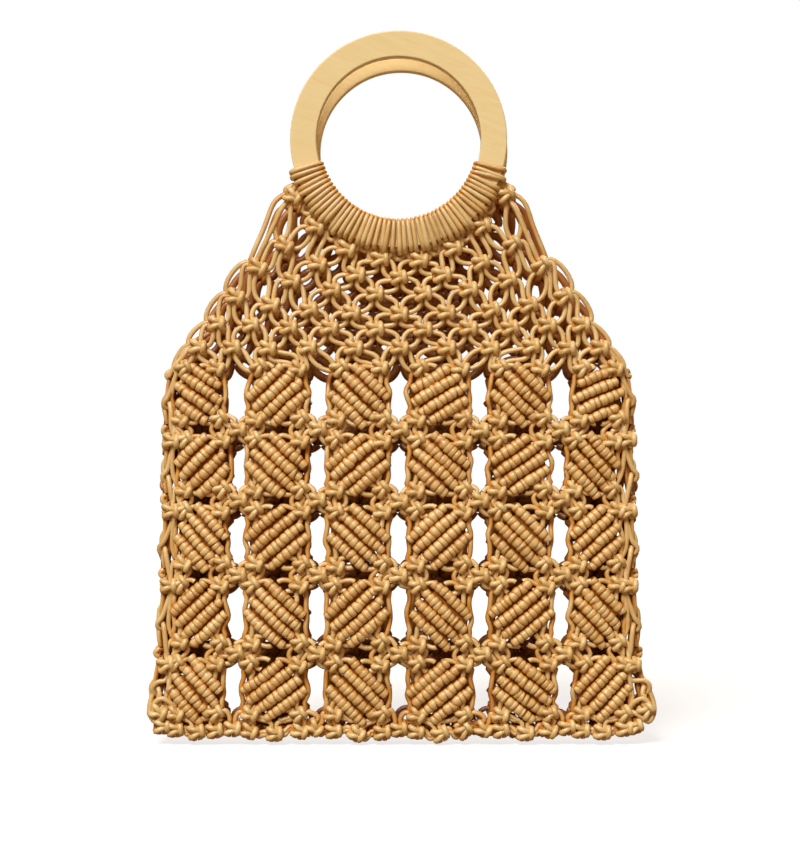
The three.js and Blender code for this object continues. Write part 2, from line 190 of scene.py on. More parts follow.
# Directions square to each strand, one for each angle, that twist as little as they can along it.
def directions_round(paths, angle, closed):
    if closed:
        tangent = unit(np.roll(paths, -1, 1) - np.roll(paths, 1, 1))
    else:
        tangent = unit(np.gradient(paths, axis=1))
    flatten = lambda v, way: v - way * np.sum(v * way, 1, keepdims=True)
    too_steep = 0.8
    helper = np.where(np.abs(tangent[:, 0, 2:3]) < too_steep, [[0.0, 0, 1]], [[1.0, 0, 0]])
    normal = np.empty_like(paths)
    normal[:, 0] = unit(np.cross(tangent[:, 0], helper))
    points = paths.shape[1]
    for i in range(1, points):
        normal[:, i] = unit(flatten(normal[:, i - 1], tangent[:, i]))
    side = np.cross(tangent, normal)
    turn = np.zeros(paths.shape[:2])
    if closed:
        last = flatten(normal[:, -1], tangent[:, 0])
        off = np.arctan2(np.sum(last * side[:, 0], 1), np.sum(last * normal[:, 0], 1))
        turn = -off[:, None] * np.arange(points) / points
    theta = (angle + turn[:, :, None])[..., None]
    return np.cos(theta) * normal[:, :, None] + np.sin(theta) * side[:, :, None]


# Pieces
CORD_PIECES = []
FACE_CORNERS = ((0, 0), (0, 1), (1, 1), (1, 0))


def add_mesh(name, places, quads, material):
    mesh = bpy.data.meshes.new(name)
    mesh.from_pydata((places.reshape(-1, 3) * MM).tolist(), [], quads.reshape(-1, 4).tolist())
    mesh.shade_smooth()
    mesh.materials.append(material)
    piece = bpy.data.objects.new(name, mesh)
    bpy.context.scene.collection.objects.link(piece)
    return piece


def dress(piece, node):
    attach(piece, "root")
    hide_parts(node)


def flat(values):
    return values.astype(np.float32).ravel()


# Gathers strands of cord into one mesh.
class Weave:
    TWIST, WOUND_SLANT, FIBRE_RANGE = 0.32, 0.2, 4000
    # Heights over the surface that set painted shade and highlight, for outer and for inner faces.
    SHUT, OPEN = -2.3, 1.3
    INSIDE, INSIDE_SPAN = -1.5, 2.0
    MAP_SHAPE, MAP_MARGIN = 0.5, 0.06

    def __init__(self, sides, height, inside_share=0.55):
        self.sides = sides
        self.height = height
        self.inside_share = inside_share
        self.parts = []

    # Adds strands with one radius or a radius for each point. Lift is how far a strand's own middle stands
    # off the surface, for its painted light: points deep in the weave get painted shade and the highest
    # a painted highlight. Shade adds painted shade to single points. The fibres of a wound strand run round
    # it and not along it. Inside share is how bright its inner face is painted, as painted shade for the
    # inside of the bag.
    def add(self, paths, radius, closed=False, lift=0.0, shade=1.0, wound=False, inside_share=None):
        paths = np.asarray(paths, float)
        count, points, _ = paths.shape
        each_point = lambda value: np.broadcast_to(np.asarray(value, float), (count, points))[:, :, None]
        radius = each_point(radius)
        angle = 2 * np.pi * np.arange(self.sides) / self.sides
        shell = paths[:, :, None] + directions_round(paths, angle, closed) * radius[..., None]
        along = lengths_along(paths)
        start = random.uniform(0, self.FIBRE_RANGE, (count, 1))
        turn = angle + self.TWIST * along[:, :, None]
        far = np.broadcast_to((along + start)[:, :, None], turn.shape)
        if wound:
            fibre = np.stack([far, self.WOUND_SLANT * far, radius * turn], -1)
        else:
            fibre = np.stack([CORD_RADIUS * np.cos(turn), CORD_RADIUS * np.sin(turn), far], -1)
        tone = np.broadcast_to(random.uniform(0, 1, (count, 1, 1)), turn.shape)
        height = self.height(shell) - each_point(lift)
        outside = np.clip((height - self.SHUT) / (self.OPEN - self.SHUT), 0, 1)
        inside = np.clip((self.INSIDE - height) / self.INSIDE_SPAN, 0, 1)
        painted_light = np.maximum(outside, inside * (inside_share or self.inside_share)) * each_point(shade)
        self.parts.append((shell, fibre, tone, painted_light, closed))

    # The faces of all strands, and a map for baked looks with a cell for each strand.
    def faces(self):
        cells = sum(len(part[0]) for part in self.parts)
        across = math.ceil(math.sqrt(cells * self.MAP_SHAPE))
        down = math.ceil(cells / across)
        in_cell = lambda share: self.MAP_MARGIN + (1 - 2 * self.MAP_MARGIN) * share
        quads, maps = [], []
        base = cell = 0
        for shell, *_, closed in self.parts:
            count, points, sides, _ = shell.shape
            spans = points if closed else points - 1
            s, i, k = np.meshgrid(np.arange(count), np.arange(spans), np.arange(sides), indexing="ij")
            column, row = (cell + s) % across, (cell + s) // across
            quad, on_map = [], []
            for p, q in FACE_CORNERS:
                quad.append(base + (s * points + (i + p) % points) * sides + (k + q) % sides)
                u = (column + in_cell((i + p) / spans)) / across
                v = (row + in_cell((k + q) / sides)) / down
                on_map.append(np.stack([u, v], -1))
            quads.append(np.stack(quad, -1).reshape(-1, 4))
            maps.append(np.stack(on_map, -2).reshape(-1, 2))
            base += count * points * sides
            cell += count
        return np.concatenate(quads), np.concatenate(maps)

    # Makes the mesh object, with the fibre, tone, painted shade and painted highlight of each point.
    def make(self, name, node):
        quads, maps = self.faces()
        *layers, _ = zip(*self.parts)
        shell, fibre, tone, painted_light = (np.concatenate([v.ravel() for v in layer]) for layer in layers)
        piece = add_mesh(name, shell, quads, COTTON)
        attributes = piece.data.attributes
        attributes.new("fibre", "FLOAT_VECTOR", "POINT").data.foreach_set("vector", flat(fibre))
        attributes.new("tone", "FLOAT", "POINT").data.foreach_set("value", flat(tone))
        attributes.new("painted_light", "FLOAT", "POINT").data.foreach_set("value", flat(painted_light))
        piece.data.uv_layers.new(name="OFBake").data.foreach_set("uv", flat(maps))
        dress(piece, node)
        CORD_PIECES.append(piece)


# Looks
def node_material(name):
    material = bpy.data.materials.new(name)
    material.use_nodes = True
    tree = material.node_tree
    shader = next(n for n in tree.nodes if n.type == "BSDF_PRINCIPLED")
    return material, tree, shader


def set_values(node, values):
    for key, value in values.items():
        if key in node.inputs:
            node.inputs[key].default_value = value
        else:
            setattr(node, key, value)


def add_node(tree, kind, **values):
    node = tree.nodes.new(kind)
    set_values(node, values)
    return node


def add_noise(tree, vector, **values):
    noise = add_node(tree, "ShaderNodeTexNoise", **values)
    tree.links.new(vector, noise.inputs["Vector"])
    return noise.outputs["Fac"]


# A share of one value, on top of what was there before.
def add_share(tree, value, share, before=None):
    node = add_node(tree, "ShaderNodeMath", operation="MULTIPLY_ADD" if before else "MULTIPLY")
    node.inputs[1].default_value = share
    tree.links.new(value, node.inputs[0])
    if before:
        tree.links.new(before, node.inputs[2])
    return node.outputs[0]


def colour_ramp(tree, value, stops):
    node = tree.nodes.new("ShaderNodeValToRGB")
    while len(node.color_ramp.elements) < len(stops):
        node.color_ramp.elements.new(0.5)
    for element, (place, colour) in zip(node.color_ramp.elements, stops):
        element.position = place
        element.color = (*colour, 1)
    tree.links.new(value, node.inputs["Fac"])
    return node.outputs["Color"]


def follow_noise(tree, shader, noise, strength, distance, smoothest, roughest):
    bump = add_node(tree, "ShaderNodeBump", Strength=strength, Distance=distance)
    tree.links.new(noise, bump.inputs["Height"])
    tree.links.new(bump.outputs["Normal"], shader.inputs["Normal"])
    rough = add_node(tree, "ShaderNodeMapRange", **{"To Min": smoothest, "To Max": roughest})
    tree.links.new(noise, rough.inputs["Value"])
    tree.links.new(rough.outputs["Result"], shader.inputs["Roughness"])


# Fibres, patches and a tone for each strand vary the cord's colour. Painted shade darkens it deep in the
# weave, and a painted highlight makes it paler where it stands highest.
FIBRE_STRETCH = (1.5, 1.5, 0.16)
TONE_SHARE, PATCH_SHARE, FIBRE_SHARE = 0.16, 0.34, 0.5
CORD_VARIETY = [(0.28, (0.76, 0.66, 0.52)), (0.5, (1.0, 1.0, 1.0)), (0.72, (1.14, 1.32, 1.7))]
# Cord colour by painted light: painted shade at 0, painted highlight at 1.
CORD_PAINTED_LIGHT = [
    (0.0, (0.15, 0.038, 0.0045)),
    (0.4, (0.47, 0.155, 0.0155)),
    (0.75, (0.72, 0.335, 0.056)),
    (1.0, (0.78, 0.52, 0.203)),
]
CORD_SHEEN = 0.9


def cotton():
    material, tree, shader = node_material("cotton_cord")
    link = tree.links.new
    attribute = lambda name: add_node(tree, "ShaderNodeAttribute", attribute_name=name).outputs
    fibre = attribute("fibre")["Vector"]
    stretch = add_node(tree, "ShaderNodeVectorMath", operation="MULTIPLY")
    stretch.inputs[1].default_value = FIBRE_STRETCH
    link(fibre, stretch.inputs[0])
    strands = add_noise(tree, stretch.outputs[0], Scale=1.0, Detail=3.0, Roughness=0.6)
    patches = add_noise(tree, fibre, Scale=0.09, Detail=2.0, Roughness=0.5)
    varied = add_share(tree, attribute("tone")["Fac"], TONE_SHARE)
    varied = add_share(tree, patches, PATCH_SHARE, varied)
    varied = add_share(tree, strands, FIBRE_SHARE, varied)
    shaded = add_node(tree, "ShaderNodeMix", data_type="RGBA", blend_type="MULTIPLY")
    shaded.inputs["Factor"].default_value = 1.0
    link(colour_ramp(tree, attribute("painted_light")["Fac"], CORD_PAINTED_LIGHT), shaded.inputs["A"])
    link(colour_ramp(tree, varied, CORD_VARIETY), shaded.inputs["B"])
    link(shaded.outputs["Result"], shader.inputs["Base Color"])
    follow_noise(tree, shader, strands, strength=0.35, distance=0.0006, smoothest=0.3, roughest=0.5)
    shader.inputs["Specular IOR Level"].default_value = CORD_SHEEN
    return material


GRAIN_LEAN, GRAIN_STRETCH = math.radians(-20), (38.0, 150.0, 420.0)
WOOD_TONES = [(0.3, (0.87, 0.665, 0.315)), (0.52, (0.905, 0.705, 0.35)), (0.75, (0.925, 0.735, 0.385))]


def pale_wood():
    material, tree, shader = node_material("pale_wood")
    link = tree.links.new
    where = add_node(tree, "ShaderNodeTexCoord")
    lean = add_node(tree, "ShaderNodeMapping", Rotation=(0, GRAIN_LEAN, 0))
    link(where.outputs["Object"], lean.inputs["Vector"])
    stretch = add_node(tree, "ShaderNodeMapping", Scale=GRAIN_STRETCH)
    link(lean.outputs[0], stretch.inputs["Vector"])
    grain = add_noise(tree, stretch.outputs[0], Scale=1.0, Detail=4.0, Roughness=0.6, Distortion=0.4)
    link(colour_ramp(tree, grain, WOOD_TONES), shader.inputs["Base Color"])
    follow_noise(tree, shader, grain, strength=0.08, distance=0.0004, smoothest=0.34, roughest=0.5)
    return material


COTTON = cotton()
WOOD = pale_wood()


# A square knot in its own plane. Two filler cords run down its middle. The right cord crosses in front as
# two petals that open to the left. The left cord goes behind and shows as an upright bar at the right.
def mirrored(half):
    half = np.array(half)
    return np.concatenate([half, half[-2::-1] * (1, -1, 1)])


RIGHT_WORKER = mirrored([
    (6.2, 1.2, -1.2), (4.6, 1.1, -0.4), (2.6, 1.0, 1.5), (0.4, 1.5, 2.9), (-1.8, 2.5, 3.3),
    (-3.6, 3.4, 2.3), (-4.4, 3.3, 0.1), (-4.1, 1.8, -2.4), (-3.9, 0.0, -3.0),
])
LEFT_WORKER = mirrored([
    (-5.8, 0.9, -1.5), (-4.4, 0.8, -1.6), (-2.4, 0.5, -2.0), (0.0, 0.7, -2.9), (2.6, 2.0, -2.3),
    (4.1, 3.4, -0.5), (4.5, 3.3, 1.7), (4.6, 1.9, 3.5), (4.6, 0.0, 4.0),
])
FILLER = mirrored([(1.85, 5.8, -0.6), (1.85, 3.2, -0.4), (1.75, 0.0, -0.4)])
LEFT_FILLER = FILLER * (-1, 1, 1)
PORTS = {  # place on the knot, and the way a cord leaves it there
    "left_in": (LEFT_WORKER[0], (-1, 0.3, 0)),
    "left_out": (LEFT_WORKER[-1], (-1, 0.0, 0)),
    "right_in": (RIGHT_WORKER[0], (1, 0.15, 0)),
    "right_out": (RIGHT_WORKER[-1], (1, -0.35, 0)),
    "left_top": (LEFT_FILLER[0], (0, 1, 0)),
    "right_top": (FILLER[0], (0, 1, 0)),
    "left_foot": (LEFT_FILLER[-1], (0, -1, 0)),
    "right_foot": (FILLER[-1], (0, -1, 0)),
}
KNOT_WOBBLE, KNOT_STRAY, TILT_STRAY, SIZE_STRAY = 0.12, 0.35, 6, 0.03


class Knot:
    def __init__(self, x, z, tilt, size, out):
        self.centre = np.array([x, z, out])
        c, s = math.cos(math.radians(tilt)), math.sin(math.radians(tilt))
        self.turn = np.array([[c, -s, 0], [s, c, 0], [0, 0, 1]])
        self.size = size

    def place(self, points):
        return self.centre + (np.asarray(points, float) * (self.size, self.size, 1)) @ self.turn.T

    def port(self, name):
        where, way = PORTS[name]
        return self.place(where), unit(self.turn @ np.array(way, float))


def shaken_knot(x, z, tilt=0.0, size=1.0, out=0.0):
    dx, dz = stray(0, KNOT_STRAY, 2)
    tilt = tilt + stray(0, TILT_STRAY)
    return Knot(x + dx, z + dz, tilt, size * stray(1, SIZE_STRAY), out)


def add_knots(weave, knots, place, fuller=0.0):
    wobble = lambda template: template + stray(0, KNOT_WOBBLE, template.shape)
    right = [k.place(wobble(RIGHT_WORKER)) for k in knots]
    left = [k.place(wobble(LEFT_WORKER)) for k in knots]
    fillers = [k.place(filler) for k in knots for filler in (LEFT_FILLER, FILLER)]
    weave.add(place(run_through(right, 5, 22)), CORD_RADIUS + fuller)
    weave.add(place(run_through(left, 5, 27)), CORD_RADIUS + fuller)
    weave.add(place(run_through(fillers, 3, 6)), SLACK_RADIUS + fuller)


# Cords between two places, with given ways of leaving and arriving.
class Links:
    def __init__(self):
        self.rows = []

    def add(self, start, leave, end, arrive, pull):
        self.rows.append((start, leave, end, arrive, pull))

    # From one knot's port to another's. A tight cord heads more straight for its other end.
    def tie(self, knot, port, other, other_port, pull=1.05, straight=0.0):
        start, leave = knot.port(port)
        end, out_of = other.port(other_port)
        ahead = unit(end - start) * straight
        arrive = unit(-out_of * (1 - straight) + ahead)
        self.add(start, unit(leave * (1 - straight) + ahead), end, arrive, pull)

    def strands(self):
        t = np.linspace(0, 1, LINK_POINTS)[None, :, None]
        p, a, q, b, pull = (np.array(column)[:, None] for column in zip(*self.rows))
        span = np.linalg.norm(q - p, axis=2, keepdims=True) * pull[:, :, None]
        run = (2 * t**3 - 3 * t**2 + 1) * p + (t**3 - 2 * t**2 + t) * (a * span)
        return run + (3 * t**2 - 2 * t**3) * q + (t**3 - t**2) * (b * span)


# Two neighbours in the net: the upper knot's filler and worker swap places on their way to the lower one.
def join_down(links, upper, lower, straight=0.0):
    near = "right" if lower.centre[0] > upper.centre[0] else "left"
    links.tie(upper, f"{near}_foot", lower, f"{OTHER[near]}_in", straight=straight)
    links.tie(upper, f"{near}_out", lower, f"{OTHER[near]}_top", straight=straight)


# An end knot over another: both its fillers bow out to the outer side of the lower one.
OUTER_BOW, INNER_BOW, HANG_STEEP, HANG_PULL = 0.6, 0.3, 0.8, 1.1


def hang_down(links, upper, lower, side):
    way = WAYS[side]
    start, leave = upper.port(f"{side}_foot")
    end, arrive = lower.port(f"{side}_in")
    leave, arrive = leave + (way * OUTER_BOW, 0, 0), -arrive + (0, -HANG_STEEP, 0)
    links.add(start, unit(leave), end, unit(arrive), HANG_PULL)
    start, leave = upper.port(f"{OTHER[side]}_foot")
    end, arrive = lower.port(f"{side}_top")
    links.add(start, unit(leave - (way * INNER_BOW, 0, 0)), end, -arrive, HANG_PULL)


# The yoke's knots lean with the ring at the top, and stand upright lower down.
YOKE_LEAN, UPRIGHT_Z, LEAN_SPAN = 0.42, -185, 55


def yoke_knots():
    rows = []
    for count, half_span, middle_z, rise, crowding in YOKE_ROWS:
        t = np.linspace(-1, 1, count)
        x = half_span * t * (1 + crowding * (1 - np.abs(t)))
        z = middle_z + rise * t * t
        lean = YOKE_LEAN * x * np.clip((z - UPRIGHT_Z) / LEAN_SPAN, 0, 1)
        rows.append([shaken_knot(*where) for where in zip(x, z, lean)])
    return rows


# Leaves
BAR_ANGLES = [  # how steep the bars of each leaf lie, in degrees
    (36, 43, 44, 30, 44, 24),
    (46, 43, 41, 43, 35, 47),
    (47, 42, 42, 42, 45, 41),
    (41, 43, 42, 46, 42, 46),
    (50, 37, 44, 39, 41, 48),
]


class Leaf:
    ROUNDNESS, LONGEST, STEPS = 1.12, 30.0, 241
    TIP_INSET, EDGE_MARGIN, SWELL = 1.2, 1.5, 2.6
    OPENING_SIDE = OVAL_HALF_WIDTH - 2.2
    END_NUDGE = (2.5, -1.5, 0.0, 0.0, 0.5)
    STRAY, TURN_STRAY, BAR_STRAY = 0.5, 2.0, 1.5

    def __init__(self, r, c, bar_inset):
        top, foot = LEAF_ROW_EDGES[r], LEAF_ROW_EDGES[r + 1]
        z = (top + foot) / 2
        left = edge_x(c, z) + (self.OPENING_SIDE if c > 0 else self.EDGE_MARGIN)
        right = edge_x(c + 1, z) - (self.OPENING_SIDE if c + 1 < COLUMNS else self.EDGE_MARGIN)
        outwards = self.END_NUDGE[r] * ((c + 1 == COLUMNS) - (c == 0))
        left, right = left + outwards, right + outwards
        self.side_x = {"left": left, "right": right}
        self.centre = np.array([(left + right) / 2, z, 0.0]) + (*stray(0, self.STRAY, 2), 0)
        half_w, half_h = (right - left) / 2, (top - foot) / 2 - self.TIP_INSET
        around = {"top": (0, half_h), "left": (-half_w, 0), "foot": (0, -half_h), "right": (half_w, 0)}
        turn = math.radians(stray(0, self.TURN_STRAY))
        along = np.array([math.cos(turn), math.sin(turn), 0])
        across = np.array([-math.sin(turn), math.cos(turn), 0])
        self.corner = {name: self.centre + along * x + across * y for name, (x, y) in around.items()}
        self.half_size = np.array([half_w - bar_inset, half_h])
        slope = -1 if (r + c) % 2 == 0 else 1
        self.bar_angle = slope * math.radians(BAR_ANGLES[r][c] + stray(0, self.BAR_STRAY))

    # The ends of a bar that crosses the leaf a given distance off its middle.
    def bar_ends(self, offset):
        along = np.array([math.cos(self.bar_angle), math.sin(self.bar_angle)])
        across = np.array([-along[1], along[0]])
        points = offset * across + np.linspace(-self.LONGEST, self.LONGEST, self.STEPS)[:, None] * along
        within = np.sum(np.abs(points / self.half_size) ** self.ROUNDNESS, axis=1) < 1
        return [self.centre + (*end, 0) for end in points[within][[0, -1]]]

    # How far the leaf swells out at a place.
    def dome(self, where):
        reach = (self.corner["right"][0] - self.centre[0], self.corner["top"][1] - self.centre[1])
        share = (where - self.centre)[:2] / reach
        return self.SWELL * max(0.0, 1 - float(share @ share))


# Each leaf is four bars of wound cord that show as rows of fat beads, with a plain cord deep in each gap
# that is painted dark as shade. A bead and its crease are given by share of its length, share of its radius,
# and painted shade, which darkens the creases and the bars' ends.
BAR_RADIUS, BAR_PITCH, BAR_TAPER, BEAD_PITCH = 4.0, 8.5, 0.2, 4.1
BAR_REACH = [(1.6, 0.4), (1.8, 2.2), (2.2, 2.0), (0.6, 1.6)]
BAR_DEPTH, BAR_LIFT = 0.6, 1.3
BEAD_PROFILE = [(0.11, 0.945, 0.92), (0.3, 1.0, 1.0), (0.7, 1.0, 1.0), (0.89, 0.945, 0.92)]
DEEP_CREASE, SHALLOW_CREASE = (0.0, 0.79, 0.14), (0.0, 0.87, 0.36)
FIRST_SHARE, LAST_SHARE, LAST_SHADE = 0.9, 0.72, 0.35
CAP_RADIUS, CAP_SHADE = 0.4, 0.2
SAG_STRAY, FAT_STRAY, WIDTH_STRAY = 0.45, 0.035, 0.08
BEAD_STRAY, ASIDE_STRAY, RISE_STRAY = 0.04, 0.13, 0.12
GAP_INSET, GAP_DEPTH, GAP_RADIUS, GAP_LIFT, GAP_POINTS = 5, 1.5, 2.2, 5.0, 6


def beaded_bar(leaf, start, end, radius):
    count = round(np.linalg.norm(end - start) / BEAD_PITCH)
    along = unit(end - start)
    across = np.array([-along[1], along[0], 0])
    sag, fat = stray(0, SAG_STRAY), stray(1, FAT_STRAY)
    widths = stray(1, WIDTH_STRAY, count)
    places = np.concatenate([[0], np.cumsum(widths) / widths.sum()])
    points, radii, shades = [start - along * CAP_RADIUS], [CAP_RADIUS], [CAP_SHADE]
    first_crease = random.integers(2)
    for k in range(count):
        taper = 1 - BAR_TAPER * abs(2 * (k + 0.5) / count - 1) ** 3
        size = fat * stray(1, BEAD_STRAY) * taper
        aside, rise = stray(0, ASIDE_STRAY), stray(0, RISE_STRAY)
        crease = SHALLOW_CREASE if (first_crease + k) % 2 else DEEP_CREASE
        for share, profile, shade in (crease, *BEAD_PROFILE):
            t = places[k] + (places[k + 1] - places[k]) * share
            middle = start + (end - start) * t + across * (sag * math.sin(math.pi * t) + aside)
            points.append(middle + (0, 0, leaf.dome(middle) - BAR_DEPTH + rise))
            radii.append(radius * size * profile)
            shades.append(shade)
    radii[1] *= FIRST_SHARE
    points += [end + (0, 0, leaf.dome(end) - BAR_DEPTH), end + along * CAP_RADIUS]
    radii += [radius * fat * LAST_SHARE, CAP_RADIUS]
    shades += [LAST_SHADE, CAP_SHADE]
    return np.array([points]), np.array([radii]), np.array([shades])


def add_leaf(weave, leaf, place, fuller):
    for k, (start_reach, end_reach) in enumerate(BAR_REACH):
        start, end = leaf.bar_ends(((len(BAR_REACH) - 1) / 2 - k) * BAR_PITCH)
        along = unit(end - start)
        start, end = start - along * start_reach, end + along * end_reach
        points, radii, shades = beaded_bar(leaf, start, end, BAR_RADIUS + fuller)
        weave.add(place(points), radii, lift=points[..., 2] + BAR_LIFT, shade=shades, wound=True)
        if k > 0:
            gap = [(start + last_start) / 2 + along * GAP_INSET, (end + last_end) / 2 - along * GAP_INSET]
            deep = even(np.array([gap]) + (0, 0, -GAP_DEPTH), GAP_POINTS)
            weave.add(place(deep), GAP_RADIUS, lift=GAP_LIFT)
        last_start, last_end = start, end


# The cords that fan out from a corner knot to one edge of its leaf, at shares of that edge from the tip.
FAN_SHARES = (0.14, 0.4, 0.68)
FAN_REACH, FAN_PULL = 0.8, 0.85


def fan_out(links, knot, leaf, tip, side):
    end, worker, down = ("foot", "out", -1.0) if tip == "top" else ("top", "in", 1.0)
    inner = OTHER[side]
    arrive = unit(np.array([-WAYS[side], down, 0]))
    for share, port in zip(FAN_SHARES, (f"{inner}_{worker}", f"{inner}_{end}", f"{side}_{end}")):
        start, leave = knot.port(port)
        target = leaf.corner[tip] + (leaf.corner[side] - leaf.corner[tip]) * share
        links.add(start, leave, target + arrive * FAN_REACH, arrive, FAN_PULL)


# The cord down one side of a leaf between its two corner knots, along the opening beside it.
SIDE_BENDS = ((0.6, 0.8), (0.2, 0.0), (-0.2, -0.6), (-0.6, 0.6))  # share of its half height, bow
SIDE_OUT, SIDE_STRAY, SIDE_STUB = -1.0, 0.6, 1.2


def side_cord(leaf, side, upper, lower, into_opening):
    inwards = -WAYS[side]
    x = leaf.side_x[side] + inwards * (CORD_RADIUS - into_opening)
    z = leaf.centre[1]
    start, leave = upper.port(f"{side}_out")
    end, arrive = lower.port(f"{side}_in")
    height = (start[1] - end[1]) / 2
    bends = []
    for share, bow in SIDE_BENDS:
        bend_x = x + inwards * stray(bow, SIDE_STRAY)
        bends.append((bend_x, z + share * height, stray(SIDE_OUT, SIDE_STRAY)))
    return np.array([start, start + leave * SIDE_STUB, *bends, end + arrive * SIDE_STUB, end])


# Two knots at the top and two at the foot of each leaf. Rise is how far they lie from the row's edge.
CORNER_RISE, YOKE_RISE, HEM_RISE = 7.4, 5.6, 9.0
CORNER_TILTS, CORNER_SIZE, CORNER_SPREAD = (34, -21), 0.92, 2.2


def corner_knots(leaves):
    knots = {}
    for (r, c), leaf in leaves.items():
        for tip, sign, z in (("top", -1, LEAF_ROW_EDGES[r]), ("foot", 1, LEAF_ROW_EDGES[r + 1])):
            under_yoke = r == 0 and tip == "top"
            over_hem = r == ROWS - 1 and tip == "foot"
            rise = YOKE_RISE if under_yoke else HEM_RISE if over_hem else CORNER_RISE
            spread = 0.0 if under_yoke else CORNER_SPREAD
            pitch = edge_x(c + 1, z) - edge_x(c, z)
            for side, way in WAYS.items():
                tilt = CORNER_TILTS[0 if way == sign else 1]
                x = leaf.centre[0] + way * (pitch / 4 + spread)
                knots[r, c, tip, side] = shaken_knot(x, z + sign * rise, tilt, CORNER_SIZE)
    return knots


# A larger knot where four leaves meet, and one at the panel's edge where two meet.
HUB_SIZE, HUB_OUT = 0.98, 0.6
EDGE_KNOT_DROP, EDGE_KNOT_ASIDE = 8.0, 1.5


def hub_knots():
    knots = {}
    for r in range(1, ROWS):
        for b in range(COLUMNS + 1):
            at_edge = (b == COLUMNS) - (b == 0)
            z = LEAF_ROW_EDGES[r] - (EDGE_KNOT_DROP if at_edge else 0)
            knots[r, b] = shaken_knot(edge_x(b, z) + at_edge * EDGE_KNOT_ASIDE, z, 0, HUB_SIZE, HUB_OUT)
    return knots


# Knots on the back that lie level with the front's leaf tips, though the back hangs lower: aside, down.
TIP_KNOTS, TIP_KNOT_OUT = [(-6.5, 0.0), (6.5, 0.0), (-4.0, 9.0), (4.0, 9.0)], -0.5


def tip_knots(leaves):
    knots = []
    for r in range(1, ROWS):
        z = LEAF_ROW_EDGES[r] + BACK_DROP * back_share(LEAF_ROW_EDGES[r], DROP_FADES)
        for c in range(COLUMNS):
            x = leaves[r, c].centre[0]
            knots += [shaken_knot(x + aside, z - down, out=TIP_KNOT_OUT) for aside, down in TIP_KNOTS]
    return knots


# Cords at the ring's lower edge. They start a little inside it.
RING_HOLD = 1.5
RING_PORTS = (("left_in", -6.0), ("left_top", -2.0), ("right_top", 2.0), ("right_in", 6.0))  # port, aside
RING_CORD_OUT, RING_CORD_PULL = (-1.0, 0.8), 0.9
LOOP_DROP, LOOP_OUT, LOOP_ENDS = (9.0, 1.5), -1.6, (0.3, 0.7)


def away_at(angle):
    return np.array([math.sin(angle), -math.cos(angle), 0])


def ring_angle(knot):
    return math.atan2(knot.centre[0], RING_CENTRE_Z - knot.centre[1])


# Short cords from the ring into a knot of the first row.
def from_ring(links, knot):
    for port, aside in RING_PORTS:
        away = away_at(ring_angle(knot) + aside / RING_OUTER)
        start = away * (RING_OUTER - RING_HOLD) + (0, RING_CENTRE_Z, stray(*RING_CORD_OUT))
        end, leave = knot.port(port)
        links.add(start, away, end, -leave, RING_CORD_PULL)


# A short loop of cord that hangs from the ring between two knots of the first row.
def hang_loop(links, knot, after):
    first, last = ring_angle(knot), ring_angle(after)
    low_away = away_at((first + last) / 2)
    low = low_away * (RING_OUTER + stray(*LOOP_DROP)) + (0, RING_CENTRE_Z, LOOP_OUT)
    aside = np.array([low_away[1], -low_away[0], 0])
    for share, way in zip(LOOP_ENDS, (-1, 1)):
        away = away_at(first + (last - first) * share)
        start = away * (RING_OUTER - RING_HOLD) + (0, RING_CENTRE_Z, LOOP_OUT)
        links.add(start, away, low, -way * np.sign(aside[0]) * aside, 1.0)


# Long cords that hang free from the end of the first row to the end of the third.
FLOAT_PORTS = (("out", "in", 4.2), ("foot", "top", 1.0))  # start, end, bow
FLOAT_BENDS = ((0.14, 1.0), (0.5, 0.5), (0.82, 0.2))  # share of the way, share of the bow
FLOAT_OUT = (0.8, 0.5)


def shoulder_floats(upper, lower, side):
    runs = []
    for start_port, end_port, bow in FLOAT_PORTS:
        start = upper.port(f"{side}_{start_port}")[0]
        end = lower.port(f"{side}_{end_port}")[0]
        between = [
            start + (end - start) * share + (WAYS[side] * bow * bend, 0, stray(*FLOAT_OUT))
            for share, bend in FLOAT_BENDS
        ]
        runs.append([start, *between, end])
    return np.array(runs)


# One edge of a panel: a shoulder cord, a chain of loops that hook together, and two loops at the corner.
SHOULDER = [(150.0, -207.0, -0.5), (156.0, -213.5, -1.0), (160.0, -221.0, -2.0)]
SHOULDER_KNOT, CORNER_KNOT = (155.0, -209.5), (167.0, -454.5)
CORNER_LOOPS = [
    [(170.4, -456.0, 0.5), (169.4, -448.6, 2.2), (164.6, -444.8, 2.6), (158.8, -447.6, 1.6),
     (155.2, -452.6, -0.4)],
    [(168.0, -436.0, -2.5), (172.2, -446.0, -1.5), (173.0, -454.8, 0.0), (169.4, -461.2, 0.8),
     (164.6, -458.4, 1.6), (160.0, -455.4, 1.2), (155.6, -454.0, -0.8)],
]
CORNER_OUT = {("front", -1): 0.5, ("front", 1): 5.0, ("back", -1): 5.0, ("back", 1): 0.5}
HOOK_ASIDE, HOOK_STRAY_X, HOOK_STRAY_Z = 0.8, 0.5, 1.0


